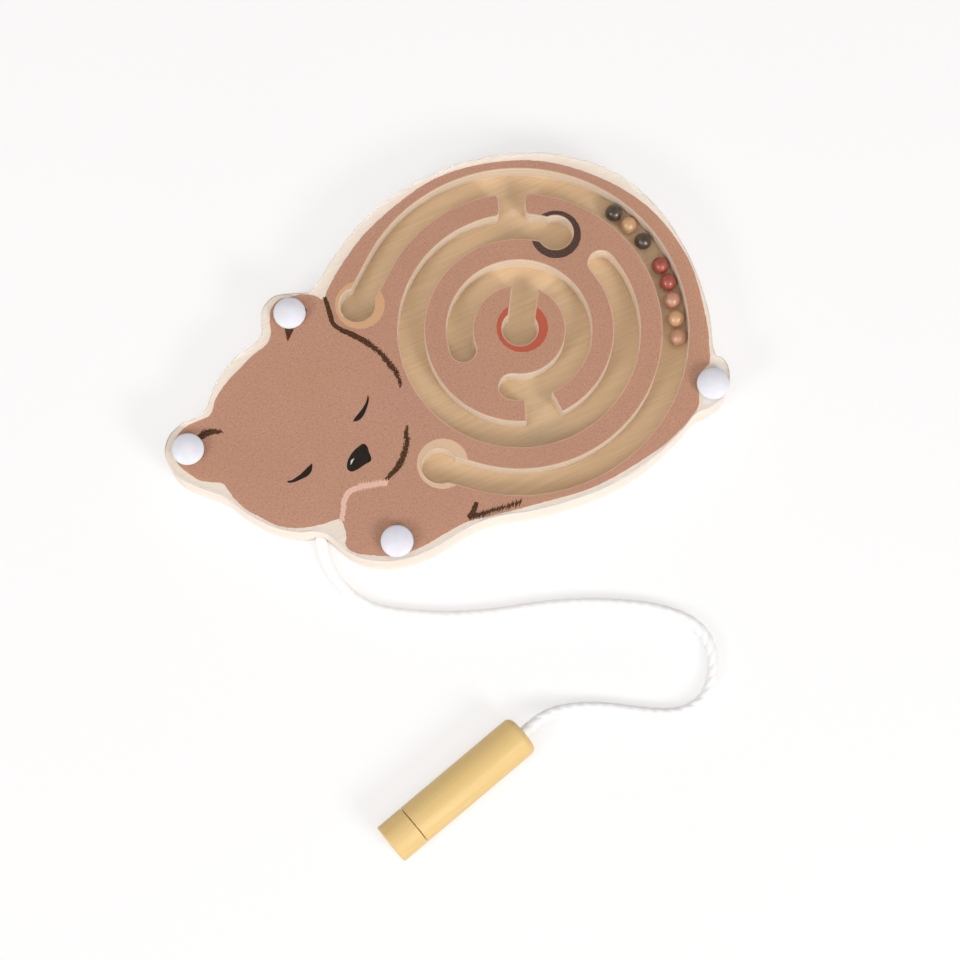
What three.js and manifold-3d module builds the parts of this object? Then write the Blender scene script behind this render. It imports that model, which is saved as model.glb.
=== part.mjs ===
import * as THREE from 'three';
import { mergeVertices } from 'three/addons/utils/BufferGeometryUtils.js';
import Module from 'manifold-3d';

// Magnetic maze board in the outline of a sleeping bear, with a magnet wand on a cord.
// Millimetres, +Z up. The origin lies under the centre of the maze, on the face that the board rests on.
// +X runs along the bear towards its tail, and +Y towards its back.

// The stack of panels, from the table up
const BASE_THICKNESS = 7.5;
const MAZE_THICKNESS = 8.5;
const COVER_THICKNESS = 2.5;
const PRINT_GAP = 0.2;

// Clearance between pieces that fit into each other
const FIT = 0.3;

// Maze channels: three rings about the origin, joined by short passages
const CHANNEL_WIDTH = 9.4;
const INNER_RING_RADIUS = 21.3;
const RING_PITCH = 17.35;
const POCKET_RADIUS = 6.4;
const CENTRE_POCKET = [0.4, 0.2];
const CENTRE_PASSAGE_ANGLE = 57;
const INNER_RING_START = -122;
const INNER_RING_END = 175.3;
const INNER_PASSAGE_START = -110.7;
const INNER_PASSAGE_END = -88.4;
const MIDDLE_RING_START = 45.1;
const MIDDLE_RING_END = 375;
const OUTER_PASSAGE_ANGLE = 68;
const OUTER_PASSAGE_WIDTH = 9.6;
const OUTER_PASSAGE_FILLET = 1.7;
const HEAD_POCKET_ANGLE = 146;
const HEAD_POCKET_STEP = 2.7;
const PAW_POCKET_ANGLE = -144.5;
const PAW_POCKET_STEP = 1.5;

// Least width of wood outside the outer ring
const RIM_WIDTH = 4.4;

// Rivets: a stud with a domed cap from the front, and a socket let into the back
// Each has its angle about the maze, and how far it stands off the maze's rim
const RIVET_ANGLE = { ear_back: 151.2, ear_front: 175.8, paw: -144, tail: -41.7 };
const RIVET_STAND_OFF = { ear_back: 17.2, ear_front: 60.3, paw: 23.7, tail: 6.7 };
const CAP_RADIUS = 5.75;
const CAP_EDGE = 0.6;
const CAP_DOME = 1.8;
const PIN_RADIUS = 2;
const PIN_CHAMFER = 0.5;
const SOCKET_WALL = 0.9;
const SOCKET_FLOOR = 1.6;
const SOCKET_LENGTH = 10.5;
const FLANGE_RADIUS = 4.2;
const FLANGE_THICKNESS = 1.4;
const FLANGE_RECESS = 0.3;

// Balls, in a row in the outer ring, with the gap from each to the outer wall and to the ball before it
const BEAD_DIAMETER = 6.3;
const BEAD_WALL_GAPS = [0.47, 0.5, 0.65, 0.3, 0.3, 0.9, 0.77, 0.3];
const BEAD_FLOOR_GAP = 0.1;
const FIRST_BEAD_ANGLE = 27.7;
const BEAD_GAPS = [0.67, 1.73, 4.78, 0.5, 0.58, 0.84, 0.67];

// Wand: a turned dowel with a tip that holds the magnet
const WAND_END = [-59.8, -130.6];
const WAND_HEADING = 195.1;
const WAND_RADIUS = 7.5;
const WAND_BODY_LENGTH = 49.3;
const WAND_END_FILLET = 2;
const WAND_BORE_DEPTH = 6.5;
const WAND_WALL = 2.2;
const SPIGOT_LENGTH = 3.1;
const MAGNET_LENGTH = 5;
const TIP_FLOOR = 2;
const TIP_CHAMFER = 0.6;

// Cord: it leaves the board's side wall between head and paw, lies on the table and ends in the wand
const CORD_DIAMETER = 4.2;
const CORD_SIDES = 10;
const CORD_STEPS = 44;
const CORD_EXIT = [-95.1, -36.9];
const CORD_EXIT_HEADING = 252;
const KNOT_DEPTH = 11;
const KNOT_RADIUS = 4;
const KNOT_FLOOR = 1.2;
const CORD_POINTS = [
  [-93, -30.5, 3.75],
  [-94.3, -34.4, 3.75],
  [...CORD_EXIT, BASE_THICKNESS / 2],
  [-95.9, -39.4, 3.7],
  [-96.7, -43.1, 3.2],
  [-96.9, -46.8, 2.5],
  [-96.4, -51.5, 2.15],
  [-95.1, -56.5, 2.15],
  [-92.7, -62.0, 2.15],
  [-89.2, -66.8, 2.15],
  [-84.4, -70.9, 2.15],
  [-78.9, -74.4, 2.15],
  [-68.8, -80.0, 2.15],
  [-59.3, -84.2, 2.15],
  [-49.7, -87.6, 2.15],
  [-37.8, -91.1, 2.15],
  [-27.4, -94.6, 2.15],
  [-17.6, -98.7, 2.15],
  [-8.3, -103.5, 2.15],
  [-1.5, -107.6, 2.15],
  [4.4, -112.0, 2.15],
  [9.2, -116.8, 2.15],
  [12.6, -122.0, 2.15],
  [13.8, -127.8, 2.15],
  [12.6, -134.2, 2.15],
  [9.3, -140.6, 2.15],
  [3.8, -145.6, 2.15],
  [-3.2, -147.1, 2.15],
  [-9.7, -145.7, 2.15],
  [-15.4, -142.9, 2.15],
  [-22.2, -138.8, 2.15],
  [-28.9, -134.6, 2.15],
  [-35.8, -131.2, 2.4],
  [-42.0, -129.2, 3.4],
  [-47.4, -128.3, 5.0],
  [-51.8, -128.5, 6.5],
  [-55.6, -129.4, 7.4],
  [...WAND_END, WAND_RADIUS],
  [-65.1, -132.0, 7.5],
];

// Fineness of round stretches: the most that a straight step leaves its arc, and counts of sides
const ARC_ERROR = 0.03;
const OUTLINE_SPANS = 4;
const TURNED_SIDES = 32;
const RIVET_SIDES = 20;
const BALL_SIDES = 16;
const BALL_RINGS = 9;

// Heights and radii that follow from the sizes above
const MAZE_TOP = BASE_THICKNESS + MAZE_THICKNESS;
const COVER_BOTTOM = MAZE_TOP + PRINT_GAP;
const COVER_TOP = COVER_BOTTOM + COVER_THICKNESS;
const MIDDLE_RING_RADIUS = INNER_RING_RADIUS + RING_PITCH;
const OUTER_RING_RADIUS = INNER_RING_RADIUS + 2 * RING_PITCH;
const RIM_RADIUS = OUTER_RING_RADIUS + CHANNEL_WIDTH / 2 + RIM_WIDTH;
const SOCKET_BORE_RADIUS = PIN_RADIUS + FIT;
const SOCKET_RADIUS = SOCKET_BORE_RADIUS + SOCKET_WALL;
const MAGNET_RADIUS = WAND_RADIUS - WAND_WALL - FIT;
const TIP_POCKET_DEPTH = SPIGOT_LENGTH + MAGNET_LENGTH + 2 * FIT;
const CUT_PAST = 1;

const wasm = await Module();
wasm.setup();

function polar(radius, degrees, centre = [0, 0]) {
  const angle = THREE.MathUtils.degToRad(degrees);
  return [centre[0] + radius * Math.cos(angle), centre[1] + radius * Math.sin(angle)];
}

function arc(centre, radius, from, to) {
  const widestStep = 2 * THREE.MathUtils.radToDeg(Math.acos(1 - ARC_ERROR / radius));
  const steps = Math.max(2, Math.ceil(Math.abs(to - from) / widestStep));
  const points = [];
  for (let step = 0; step <= steps; step += 1) {
    points.push(polar(radius, from + ((to - from) * step) / steps, centre));
  }
  return points;
}

// The centres of the rivets
const RIVETS = {};
for (const [place, degrees] of Object.entries(RIVET_ANGLE)) {
  RIVETS[place] = polar(RIM_RADIUS + RIVET_STAND_OFF[place], degrees);
}

function shapeOf(points) {
  return new THREE.Shape(points.map(([x, y]) => new THREE.Vector2(x, y)));
}

function prism(shape, bottom, top) {
  const geometry = new THREE.ExtrudeGeometry(shape, { depth: top - bottom, bevelEnabled: false });
  return geometry.translate(0, 0, bottom);
}

function turned(profile, sides) {
  const points = profile.map(([radius, along]) => new THREE.Vector2(radius, along));
  return new THREE.LatheGeometry(points, sides);
}

function upright(geometry) {
  return geometry.rotateX(Math.PI / 2);
}

function drill(centre, radius, bottom, top) {
  const geometry = upright(new THREE.CylinderGeometry(radius, radius, top - bottom, RIVET_SIDES));
  return geometry.translate(centre[0], centre[1], (bottom + top) / 2);
}

function toSolid(geometry) {
  geometry.deleteAttribute('normal');
  geometry.deleteAttribute('uv');
  const merged = mergeVertices(geometry);
  const vertProperties = new Float32Array(merged.attributes.position.array);
  const triVerts = new Uint32Array(merged.index.array);
  return new wasm.Manifold(new wasm.Mesh({ numProp: 3, vertProperties, triVerts }));
}

function toGeometry(solid) {
  const { vertProperties, triVerts } = solid.getMesh();
  const geometry = new THREE.BufferGeometry();
  geometry.setAttribute('position', new THREE.BufferAttribute(vertProperties, 3));
  geometry.setIndex(new THREE.BufferAttribute(triVerts, 1));
  geometry.computeVertexNormals();
  return geometry;
}

function cut(geometry, cutters) {
  const solid = cutters.reduce((rest, cutter) => rest.subtract(toSolid(cutter)), toSolid(geometry));
  return toGeometry(solid);
}

function piece(name, geometry, look) {
  const mesh = new THREE.Mesh(geometry, new THREE.MeshStandardMaterial(look));
  mesh.name = name;
  return mesh;
}

// The bear's outline: body points stand off the rim of the maze, head, paw and tail points off their rivets
function rim(stations) {
  return stations.map(([degrees, standOff]) => polar(RIM_RADIUS + standOff, degrees));
}

function lobe([x, y], offsets) {
  return offsets.map(([dx, dy]) => [x + dx, y + dy]);
}

function bearOutline() {
  const back = rim([
    [-33, 5.7], [-19, 3.0], [0, 1.8], [19, 2.6], [37, 3.1], [57, 1.8],
    [80, 0.7], [93, 0.8], [106, 2.1], [117, 3.7], [127, 5.4], [135.5, 7.2],
  ]);
  const backEar = lobe(RIVETS.ear_back, [
    [14.4, 6.6], [9.4, 4.6], [4.4, 6.4], [-2.6, 8.3], [-8.1, 5.8], [-10.8, 1.0], [-12.4, -2.8],
  ]);
  const crown = lobe(RIVETS.ear_front, [[36.4, 25.5], [27.9, 23.5], [20.4, 19.5], [15.4, 14.9]]);
  const frontEar = lobe(RIVETS.ear_front, [
    [11.9, 11.1], [7.9, 9.5], [2.4, 9.7], [-4.1, 7.4], [-8.2, 1.6], [-7.3, -6.7], [-1.9, -13.7],
  ]);
  const face = lobe(RIVETS.ear_front, [
    [4.6, -20.4], [9.5, -29.2], [16.1, -37.8], [23.1, -43.2], [28.6, -45.4],
  ]);
  const paw = lobe(RIVETS.paw, [
    [-21.2, 13.2], [-19.2, 8.7], [-15.7, 2.4], [-8.3, -3.4], [0.8, -6.6], [11.8, -7.1], [21.8, -5.8],
  ]);
  const belly = rim([
    [-126.7, 6.8], [-120.8, 3.3], [-111, 1.2], [-99.7, 0], [-88, 0.1], [-77.7, 0.8],
    [-67, 1.9], [-57.4, 3.5], [-51, 5.0],
  ]);
  const tail = lobe(RIVETS.tail, [[-4.6, -6.8], [1.9, -5.4], [6.4, -0.8], [8, 4.8], [7.2, 7.8]]);
  const corners = [back, backEar, crown, frontEar, face, paw, belly, tail].flat();
  const curve = new THREE.CatmullRomCurve3(corners.map(([x, y]) => new THREE.Vector3(x, y, 0)), true);
  const points = curve.getPoints(corners.length * OUTLINE_SPANS);
  return shapeOf(points.slice(0, -1).map(({ x, y }) => [x, y]));
}

// A channel of the maze along a circle about the origin, with round ends
function ringChannel(radius, from, to) {
  const half = CHANNEL_WIDTH / 2;
  return shapeOf([
    ...arc([0, 0], radius + half, from, to),
    ...arc(polar(radius, to), half, to, to + 180).slice(1),
    ...arc([0, 0], radius - half, to, from).slice(1),
    ...arc(polar(radius, from), half, from - 180, from).slice(1, -1),
  ]);
}

// A straight channel with round ends
function straightChannel(start, end) {
  const half = CHANNEL_WIDTH / 2;
  const heading = THREE.MathUtils.radToDeg(Math.atan2(end[1] - start[1], end[0] - start[0]));
  return shapeOf([
    ...arc(end, half, heading - 90, heading + 90),
    ...arc(start, half, heading + 90, heading + 270),
  ]);
}

// A straight passage between two rings, whose mouths open out with fillets against the rings' walls
function passage(degrees, innerRing, width, fillet) {
  const side = width / 2 + fillet;
  const nearWall = innerRing + CHANNEL_WIDTH / 2;
  const farWall = innerRing + RING_PITCH - CHANNEL_WIDTH / 2;
  const near = Math.sqrt((nearWall + fillet) ** 2 - side ** 2);
  const far = Math.sqrt((farWall - fillet) ** 2 - side ** 2);
  const nearTurn = THREE.MathUtils.radToDeg(Math.atan2(side, near));
  const farTurn = THREE.MathUtils.radToDeg(Math.atan2(side, far));
  const points = [
    polar(nearWall - CUT_PAST, -nearTurn),
    ...arc([near, -side], fillet, 180 - nearTurn, 90),
    ...arc([far, -side], fillet, 90, -farTurn),
    ...arc([0, 0], farWall + CUT_PAST, -farTurn, farTurn),
    ...arc([far, side], fillet, farTurn, -90),
    ...arc([near, side], fillet, -90, nearTurn - 180),
    polar(nearWall - CUT_PAST, nearTurn),
  ];
  return shapeOf(points.map(([along, across]) => {
    const start = polar(along, degrees);
    return polar(across, degrees + 90, start);
  }));
}

// A passage between two rings whose sides point at the centre of the maze
function fanPassage(from, to, innerRing) {
  const near = innerRing + CHANNEL_WIDTH / 2 - CUT_PAST;
  const far = innerRing + RING_PITCH - CHANNEL_WIDTH / 2 + CUT_PAST;
  return shapeOf([...arc([0, 0], far, from, to), ...arc([0, 0], near, to, from)]);
}

// The point where a straight run from a pocket meets the outer ring without a bend
function tangentAngle(pocketAngle, step) {
  const lead = THREE.MathUtils.radToDeg(Math.acos(OUTER_RING_RADIUS / (OUTER_RING_RADIUS + step)));
  return pocketAngle - Math.sign(pocketAngle) * lead;
}

function mazeChannels() {
  const headPocket = polar(OUTER_RING_RADIUS + HEAD_POCKET_STEP, HEAD_POCKET_ANGLE);
  const pawPocket = polar(OUTER_RING_RADIUS + PAW_POCKET_STEP, PAW_POCKET_ANGLE);
  const middlePocket = polar(MIDDLE_RING_RADIUS, MIDDLE_RING_START);
  const headTangent = tangentAngle(HEAD_POCKET_ANGLE, HEAD_POCKET_STEP);
  const pawTangent = tangentAngle(PAW_POCKET_ANGLE, PAW_POCKET_STEP);
  const shapes = [
    ringChannel(OUTER_RING_RADIUS, pawTangent, headTangent),
    straightChannel(polar(OUTER_RING_RADIUS, headTangent), headPocket),
    straightChannel(polar(OUTER_RING_RADIUS, pawTangent), pawPocket),
    ringChannel(MIDDLE_RING_RADIUS, MIDDLE_RING_START, MIDDLE_RING_END),
    ringChannel(INNER_RING_RADIUS, INNER_RING_START, INNER_RING_END),
    passage(OUTER_PASSAGE_ANGLE, MIDDLE_RING_RADIUS, OUTER_PASSAGE_WIDTH, OUTER_PASSAGE_FILLET),
    fanPassage(INNER_PASSAGE_START, INNER_PASSAGE_END, INNER_RING_RADIUS),
    straightChannel(CENTRE_POCKET, polar(INNER_RING_RADIUS, CENTRE_PASSAGE_ANGLE)),
    ...[headPocket, pawPocket, middlePocket, CENTRE_POCKET].map((centre) => {
      return shapeOf(arc(centre, POCKET_RADIUS, 0, 360).slice(1));
    }),
  ];
  return shapes.map((shape) => prism(shape, BASE_THICKNESS - CUT_PAST, MAZE_TOP + CUT_PAST));
}

function knotCentre() {
  return polar(KNOT_DEPTH, CORD_EXIT_HEADING + 180, CORD_EXIT);
}

function cordHole() {
  const radius = CORD_DIAMETER / 2 + FIT;
  const length = 2 * KNOT_DEPTH;
  const geometry = new THREE.CylinderGeometry(radius, radius, length, RIVET_SIDES);
  geometry.rotateZ(THREE.MathUtils.degToRad(CORD_EXIT_HEADING - 90));
  return geometry.translate(CORD_EXIT[0], CORD_EXIT[1], BASE_THICKNESS / 2);
}

function basePanel(outline) {
  const flangeTop = FLANGE_RECESS + FLANGE_THICKNESS;
  const cutters = Object.values(RIVETS).flatMap((centre) => [
    drill(centre, FLANGE_RADIUS + FIT, -CUT_PAST, flangeTop),
    drill(centre, SOCKET_RADIUS + FIT, -CUT_PAST, BASE_THICKNESS + CUT_PAST),
  ]);
  cutters.push(drill(knotCentre(), KNOT_RADIUS + FIT, KNOT_FLOOR, BASE_THICKNESS + CUT_PAST));
  cutters.push(cordHole());
  return cut(prism(outline, 0, BASE_THICKNESS), cutters);
}

function mazePanel(outline) {
  const holes = Object.values(RIVETS).map((centre) => {
    return drill(centre, SOCKET_RADIUS + FIT, BASE_THICKNESS - CUT_PAST, MAZE_TOP + CUT_PAST);
  });
  return cut(prism(outline, BASE_THICKNESS, MAZE_TOP), [...mazeChannels(), ...holes]);
}

function clearCover(outline) {
  const holes = Object.values(RIVETS).map((centre) => {
    return drill(centre, PIN_RADIUS + FIT, COVER_BOTTOM - CUT_PAST, COVER_TOP + CUT_PAST);
  });
  return cut(prism(outline, COVER_BOTTOM, COVER_TOP), holes);
}

function rivetStud() {
  const pinEnd = FLANGE_RECESS + SOCKET_FLOOR + FIT;
  const domeRadius = (CAP_RADIUS ** 2 + CAP_DOME ** 2) / (2 * CAP_DOME);
  const domeSweep = THREE.MathUtils.radToDeg(Math.asin(CAP_RADIUS / domeRadius));
  const domeCentre = [0, COVER_TOP + CAP_EDGE + CAP_DOME - domeRadius];
  const dome = arc(domeCentre, domeRadius, 90 - domeSweep, 90).slice(1, -1);
  return upright(turned([
    [0, pinEnd],
    [PIN_RADIUS - PIN_CHAMFER, pinEnd],
    [PIN_RADIUS, pinEnd + PIN_CHAMFER],
    [PIN_RADIUS, COVER_TOP],
    [CAP_RADIUS, COVER_TOP],
    [CAP_RADIUS, COVER_TOP + CAP_EDGE],
    ...dome,
    [0, COVER_TOP + CAP_EDGE + CAP_DOME],
  ], RIVET_SIDES));
}

function rivetSocket() {
  const flangeTop = FLANGE_RECESS + FLANGE_THICKNESS;
  const tubeTop = FLANGE_RECESS + SOCKET_LENGTH;
  const boreFloor = FLANGE_RECESS + SOCKET_FLOOR;
  return upright(turned([
    [0, FLANGE_RECESS],
    [FLANGE_RADIUS, FLANGE_RECESS],
    [FLANGE_RADIUS, flangeTop],
    [SOCKET_RADIUS, flangeTop],
    [SOCKET_RADIUS, tubeTop],
    [SOCKET_BORE_RADIUS, tubeTop],
    [SOCKET_BORE_RADIUS, boreFloor],
    [0, boreFloor],
  ], RIVET_SIDES));
}

function addRivets(board) {
  const white = { color: 0xe6e8f0, roughness: 0.35, metalness: 0 };
  for (const [place, [x, y]] of Object.entries(RIVETS)) {
    const stud = piece(`rivet_stud_${place}`, rivetStud(), white);
    const socket = piece(`rivet_socket_${place}`, rivetSocket(), white);
    stud.position.set(x, y, 0);
    socket.position.set(x, y, 0);
    board.add(stud, socket);
  }
}

function addBeads(board) {
  const colours = [0x4a4038, 0xcfa06a, 0x4a4038, 0xa8504a, 0xa8504a, 0xc08a74, 0xcfa06a, 0xb07a66];
  const radius = BEAD_DIAMETER / 2;
  const rows = BEAD_WALL_GAPS.map((gap) => OUTER_RING_RADIUS + CHANNEL_WIDTH / 2 - gap - radius);
  let angle = FIRST_BEAD_ANGLE;
  colours.forEach((color, index) => {
    if (index > 0) {
      const [before, own] = [rows[index - 1], rows[index]];
      const apart = BEAD_DIAMETER + BEAD_GAPS[index - 1];
      angle -= THREE.MathUtils.radToDeg(Math.acos((before ** 2 + own ** 2 - apart ** 2) / (2 * before * own)));
    }
    const look = { color, roughness: 0.25, metalness: 0.3 };
    const bead = piece(`bead_${index + 1}`, new THREE.SphereGeometry(radius, BALL_SIDES, BALL_RINGS), look);
    const [x, y] = polar(rows[index], angle);
    bead.position.set(x, y, BASE_THICKNESS + BEAD_FLOOR_GAP + radius);
    board.add(bead);
  });
}

function cordTube() {
  const path = new THREE.CatmullRomCurve3(CORD_POINTS.map(([x, y, z]) => new THREE.Vector3(x, y, z)));
  const section = [];
  for (let side = 0; side < CORD_SIDES; side += 1) {
    section.push(polar(CORD_DIAMETER / 2, (360 * side) / CORD_SIDES));
  }
  return new THREE.ExtrudeGeometry(shapeOf(section), {
    steps: CORD_STEPS,
    bevelEnabled: false,
    extrudePath: path,
  });
}

// The knot fills the pocket that the maze panel closes
function cordKnot() {
  const height = BASE_THICKNESS - KNOT_FLOOR - 2 * FIT;
  const geometry = upright(new THREE.SphereGeometry(KNOT_RADIUS, BALL_SIDES, BALL_RINGS));
  geometry.scale(1, 1, height / (2 * KNOT_RADIUS));
  const [x, y] = knotCentre();
  return geometry.translate(x, y, KNOT_FLOOR + FIT + height / 2);
}

// The wand is turned about its own +X axis, from the cord's end to the tip
function alongX(geometry) {
  return geometry.rotateZ(-Math.PI / 2);
}

function wandBody() {
  const bore = CORD_DIAMETER / 2 + FIT;
  const fillet = WAND_END_FILLET;
  const spigot = WAND_RADIUS - WAND_WALL - FIT;
  const spigotEnd = WAND_BODY_LENGTH + SPIGOT_LENGTH;
  return alongX(turned([
    [0, WAND_BORE_DEPTH],
    [bore, WAND_BORE_DEPTH],
    [bore, 0],
    ...arc([WAND_RADIUS - fillet, fillet], fillet, -90, 0),
    [WAND_RADIUS, WAND_BODY_LENGTH],
    [spigot, WAND_BODY_LENGTH],
    [spigot, spigotEnd],
    [0, spigotEnd],
  ], TURNED_SIDES));
}

function wandTip() {
  const start = WAND_BODY_LENGTH + FIT;
  const pocket = WAND_RADIUS - WAND_WALL;
  const pocketEnd = WAND_BODY_LENGTH + TIP_POCKET_DEPTH;
  const end = pocketEnd + TIP_FLOOR;
  return alongX(turned([
    [0, pocketEnd],
    [pocket, pocketEnd],
    [pocket, start],
    [WAND_RADIUS, start],
    [WAND_RADIUS, end - TIP_CHAMFER],
    [WAND_RADIUS - TIP_CHAMFER, end],
    [0, end],
  ], TURNED_SIDES));
}

function wandMagnet() {
  const start = WAND_BODY_LENGTH + SPIGOT_LENGTH + FIT;
  const end = start + MAGNET_LENGTH;
  return alongX(turned([
    [0, start],
    [MAGNET_RADIUS, start],
    [MAGNET_RADIUS, end],
    [0, end],
  ], TURNED_SIDES));
}

function makeBoard() {
  const board = new THREE.Group();
  const outline = bearOutline();
  const plywood = { color: 0xe3c7a6, roughness: 0.6, metalness: 0 };
  const printed = { color: 0xbb8f79, roughness: 0.55, metalness: 0 };
  const clear = { color: 0xf4f6f5, roughness: 0.08, metalness: 0, transparent: true, opacity: 0.2 };
  board.add(piece('base_panel', basePanel(outline), plywood));
  board.add(piece('maze_panel', mazePanel(outline), printed));
  board.add(piece('clear_cover', clearCover(outline), clear));
  addRivets(board);
  addBeads(board);
  return board;
}

function makeWand() {
  const wand = new THREE.Group();
  const beech = { color: 0xdcc082, roughness: 0.5, metalness: 0 };
  const plated = { color: 0xc8c8c8, roughness: 0.3, metalness: 1 };
  wand.add(piece('wand_body', wandBody(), beech));
  wand.add(piece('wand_tip', wandTip(), beech));
  wand.add(piece('wand_magnet', wandMagnet(), plated));
  wand.position.set(WAND_END[0], WAND_END[1], WAND_RADIUS);
  wand.rotation.z = THREE.MathUtils.degToRad(WAND_HEADING);
  return wand;
}

function makeCord() {
  const cord = new THREE.Group();
  const cotton = { color: 0xf3f0ea, roughness: 0.9, metalness: 0 };
  cord.add(piece('cord', cordTube(), cotton));
  cord.add(piece('cord_knot', cordKnot(), cotton));
  return cord;
}

const model = new THREE.Group();
model.add(makeBoard(), makeWand(), makeCord());

export default model;
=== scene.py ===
import math
import random

import bmesh
import bpy
from mathutils import Matrix, Vector, noise
from mathutils.geometry import tessellate_polygon
from mathutils.kdtree import KDTree


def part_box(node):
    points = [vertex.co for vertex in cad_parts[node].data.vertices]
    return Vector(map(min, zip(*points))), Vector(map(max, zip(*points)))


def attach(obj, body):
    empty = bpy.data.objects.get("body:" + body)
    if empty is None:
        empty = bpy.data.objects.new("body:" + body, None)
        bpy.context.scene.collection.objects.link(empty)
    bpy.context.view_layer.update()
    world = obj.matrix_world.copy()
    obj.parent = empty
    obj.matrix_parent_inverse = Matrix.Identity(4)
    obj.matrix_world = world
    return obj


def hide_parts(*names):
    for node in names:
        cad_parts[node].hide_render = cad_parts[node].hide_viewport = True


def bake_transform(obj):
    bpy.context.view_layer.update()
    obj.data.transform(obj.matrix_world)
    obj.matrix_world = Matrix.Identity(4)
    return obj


# Magnetic maze board in the outline of a sleeping bear, with a magnet wand on a cord.
# The scene is in metres, +Z up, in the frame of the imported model. Sizes below are in millimetres.
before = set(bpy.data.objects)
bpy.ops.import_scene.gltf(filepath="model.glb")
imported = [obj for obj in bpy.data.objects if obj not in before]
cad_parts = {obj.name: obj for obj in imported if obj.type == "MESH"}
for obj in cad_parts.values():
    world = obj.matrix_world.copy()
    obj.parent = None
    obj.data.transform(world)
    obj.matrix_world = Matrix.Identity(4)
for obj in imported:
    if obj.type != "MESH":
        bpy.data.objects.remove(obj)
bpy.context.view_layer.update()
MM = 0.001

# The camera stands where the photograph was taken from
CAMERA_PLACE = (-117.4, -218.6, 878.1)
CAMERA_TILT = 12.6
CAMERA_TURN = -25
CAMERA_LENS = 93.75
CAMERA_SENSOR = 36
CAMERA_NEAR = 10

# Cord: three soft strands laid close round each other, along the route of the cord's solid
CORD_DIAMETER = 4.2
CORD_LAY = 13.0
CORD_STRANDS = 3
CORD_STRAND_SHARE = 0.8
CORD_SIDES = 36
CORD_SWELL = 0.025
CORD_SWELL_SIZE = 1.8
CORD_STEP = 0.45
CORD_POINTS = [
    (-93, -30.5, 3.75), (-94.3, -34.4, 3.75), (-95.1, -36.9, 3.75), (-95.9, -39.4, 3.7),
    (-96.7, -43.1, 3.2), (-96.9, -46.8, 2.5), (-96.4, -51.5, 2.15), (-95.1, -56.5, 2.15),
    (-92.7, -62, 2.15), (-89.2, -66.8, 2.15), (-84.4, -70.9, 2.15), (-78.9, -74.4, 2.15),
    (-68.8, -80, 2.15), (-59.3, -84.2, 2.15), (-49.7, -87.6, 2.15), (-37.8, -91.1, 2.15),
    (-27.4, -94.6, 2.15), (-17.6, -98.7, 2.15), (-8.3, -103.5, 2.15), (-1.5, -107.6, 2.15),
    (4.4, -112, 2.15), (9.2, -116.8, 2.15), (12.6, -122, 2.15), (13.8, -127.8, 2.15),
    (12.6, -134.2, 2.15), (9.3, -140.6, 2.15), (3.8, -145.6, 2.15), (-3.2, -147.1, 2.15),
    (-9.7, -145.7, 2.15), (-15.4, -142.9, 2.15), (-22.2, -138.8, 2.15), (-28.9, -134.6, 2.15),
    (-35.8, -131.2, 2.4), (-42, -129.2, 3.4), (-47.4, -128.3, 5), (-51.8, -128.5, 6.5),
    (-55.6, -129.4, 7.4), (-59.8, -130.6, 7.5), (-65.1, -132, 7.5),
]
CORD_EXIT_POINT = 2
WAND_END_POINT = 37
# The cord's hole reaches from inside the board to past its edge
CORD_HOLE_DEPTH = 8
CORD_HOLE_PAST = 4
HOLE_CLEARANCE = 0.3
HOLE_SIDES = 24

# Panels: the fineness of their outlines, the rounding of their edges and their plies
OUTLINE_STEP = 0.9
CORNER_ANGLE = 28
WOOD_EDGE = 0.14
COVER_EDGE = 0.22
EDGE_STEPS = 3
SHARP_ANGLE = 35
PLY_COUNT = 5
# An inset's sharpest mitre, and the share of its distance that its points keep from the whole loop
MITRE_LEAST = 0.5
INSET_CLEAR = 0.93
# Lengths in metres under which points count as one, and under which a length counts as none
SAME_SPOT = 1e-6
TINY = 1e-9

# Print: a thin coat on the maze panel, with strokes on top of it
PRINT_LIFT = 0.01
PRINT_TOP = 0.06
STROKE_LIFT = 0.065
STROKE_TOP = 0.1
STROKE_STACK = 0.05
SHINE_LIFT = 0.06
PRINT_BORDER = 0.35
BORDER_REACH = 65.2
PRINT_STEP = 0.4
PRINT_RAGGED = 0.16
PRINT_RAGGED_SIZE = 1.3
# Holes that are nearer to the tail's rivet lie outside the brown coat
TAIL_REACH = 20

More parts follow.
